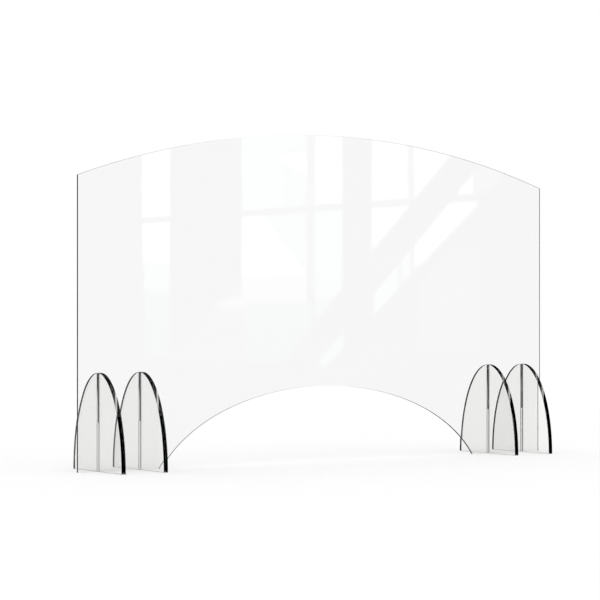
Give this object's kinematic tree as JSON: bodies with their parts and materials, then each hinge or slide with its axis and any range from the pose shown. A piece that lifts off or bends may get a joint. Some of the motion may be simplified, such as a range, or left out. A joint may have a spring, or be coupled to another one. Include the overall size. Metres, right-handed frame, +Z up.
{
  "type": "desk privacy panel",
  "caption": "Free-standing clear acrylic desk shield: a wide arched sheet with an arched pass-through, halving-slotted onto half-ellipse foot plates.",
  "frame": {"origin": "on the desk surface, under the middle of the sheet: the centre of the bottom face of the whole object's box", "axes": "+X along the sheet to the right as seen from the front, +Y through the sheet towards its back, +Z up"},
  "size_m": [1.2, 0.2, 0.7],
  "materials": {
    "sheet_acrylic": "polished",
    "foot_acrylic": "polished"
  },
  "bodies": {
    "foot_left_outer": {"foot_left_outer": "foot_acrylic"},
    "sheet": {"privacy_sheet": "sheet_acrylic"},
    "foot_left_inner": {"foot_left_inner": "foot_acrylic"},
    "foot_right_inner": {"foot_right_inner": "foot_acrylic"},
    "foot_right_outer": {"foot_right_outer": "foot_acrylic"}
  },
  "joints": [
    {"name": "sheet_lift", "type": "slide", "parent": "foot_left_outer", "child": "sheet", "axis": [0, 0, 1], "range_m": [0, 0.21]},
    {"name": "foot_left_inner_slot", "type": "slide", "parent": "sheet", "child": "foot_left_inner", "axis": [0, 0, -1], "range_m": [0, 0.21]},
    {"name": "foot_right_inner_slot", "type": "slide", "parent": "sheet", "child": "foot_right_inner", "axis": [0, 0, -1], "range_m": [0, 0.21]},
    {"name": "foot_right_outer_slot", "type": "slide", "parent": "sheet", "child": "foot_right_outer", "axis": [0, 0, -1], "range_m": [0, 0.21]}
  ],
  "couplings": [
    {"joint": "foot_left_inner_slot", "follows": "sheet_lift", "ratio": 1},
    {"joint": "foot_right_inner_slot", "follows": "sheet_lift", "ratio": 1},
    {"joint": "foot_right_outer_slot", "follows": "sheet_lift", "ratio": 1}
  ]
}
